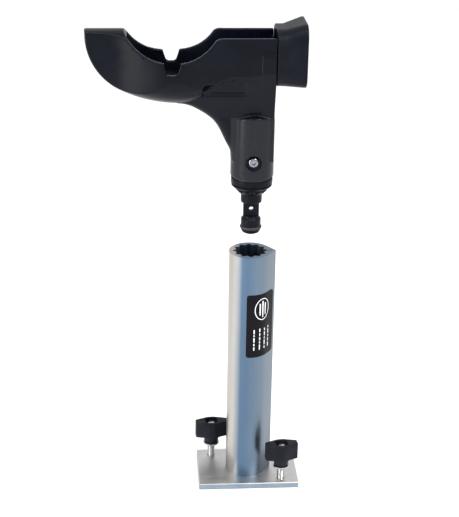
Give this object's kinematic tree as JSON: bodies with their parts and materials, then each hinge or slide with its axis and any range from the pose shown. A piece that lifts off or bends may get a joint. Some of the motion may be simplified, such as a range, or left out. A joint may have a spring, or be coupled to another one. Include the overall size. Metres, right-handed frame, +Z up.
{
  "type": "rod holder",
  "caption": "Moulded trough rod holder with turning locking collar on an indexed spigot, lifted above a teardrop riser tube on a base plate with wing knobs.",
  "frame": {"origin": "on the riser's axis at the underside of the base plate", "axes": "+Z up the riser, +X from the riser towards the locking collar, +Y across the plate"},
  "size_m": [0.2145, 0.07, 0.4943],
  "materials": {
    "plate_aluminium": "satin anodised",
    "riser_aluminium": "satin anodised extrusion",
    "weld": "ground flush",
    "label_film": "printed film",
    "steel": "stainless",
    "washer_steel": "stainless",
    "knob_plastic": "moulded",
    "insert_brass": "turned",
    "post_plastic": "glass-filled moulding",
    "ring_rubber": "matt",
    "holder_plastic": "polished moulding",
    "collar_plastic": "fine-grained moulding",
    "screw_chrome": "bright"
  },
  "bodies": {
    "stand": {"base_plate": "plate_aluminium", "riser_tube": "riser_aluminium", "base_weld": "weld", "tube_label": "label_film"},
    "spigot_ring": {"post_o_ring": "ring_rubber"},
    "holder": {"index_post": "post_plastic", "seat_ring": "ring_rubber", "holder_body": "holder_plastic", "cross_screw": "screw_chrome", "cross_nut": "steel", "collar_clip": "steel"},
    "collar": {"locking_collar": "collar_plastic"},
    "left_bolt": {"left_t_bolt": "steel"},
    "left_travel": {"left_washer": "washer_steel"},
    "left_turn": {"left_knob": "knob_plastic", "left_insert": "insert_brass"},
    "right_bolt": {"right_t_bolt": "steel"},
    "right_travel": {"right_washer": "washer_steel"},
    "right_turn": {"right_knob": "knob_plastic", "right_insert": "insert_brass"}
  },
  "joints": [
    {"name": "holder_lift", "type": "slide", "parent": "stand", "child": "spigot_ring", "axis": [0, 0, 1], "range_m": [-0.0695, 0]},
    {"name": "holder_index", "type": "hinge", "parent": "spigot_ring", "child": "holder", "pos_m": [0, 0, 0.287], "axis": [0, 0, 1], "continuous": true},
    {"name": "collar_turn", "type": "hinge", "parent": "holder", "child": "collar", "pos_m": [0.03, 0, 0.4615], "axis": [1, 0, 0], "range_deg": [0, 125]},
    {"name": "left_bolt_drop", "type": "slide", "parent": "stand", "child": "left_bolt", "axis": [0, 0, 1], "range_m": [-0.005, 0]},
    {"name": "left_knob_travel", "type": "slide", "parent": "left_bolt", "child": "left_travel", "axis": [0, 0, 1], "range_m": [-0.008, 0]},
    {"name": "left_knob_turn", "type": "hinge", "parent": "left_travel", "child": "left_turn", "pos_m": [-0.036, 0.025, 0.035], "axis": [0, 0, 1], "range_deg": [-2041, 0]},
    {"name": "right_bolt_drop", "type": "slide", "parent": "stand", "child": "right_bolt", "axis": [0, 0, 1], "range_m": [-0.005, 0]},
    {"name": "right_knob_travel", "type": "slide", "parent": "right_bolt", "child": "right_travel", "axis": [0, 0, 1], "range_m": [-0.008, 0]},
    {"name": "right_knob_turn", "type": "hinge", "parent": "right_travel", "child": "right_turn", "pos_m": [0.036, -0.025, 0.035], "axis": [0, 0, 1], "range_deg": [-2041, 0]}
  ],
  "couplings": [
    {"joint": "left_knob_travel", "follows": "left_knob_turn", "m_per_rad": 0.00022458},
    {"joint": "right_knob_travel", "follows": "right_knob_turn", "m_per_rad": 0.00022458}
  ]
}
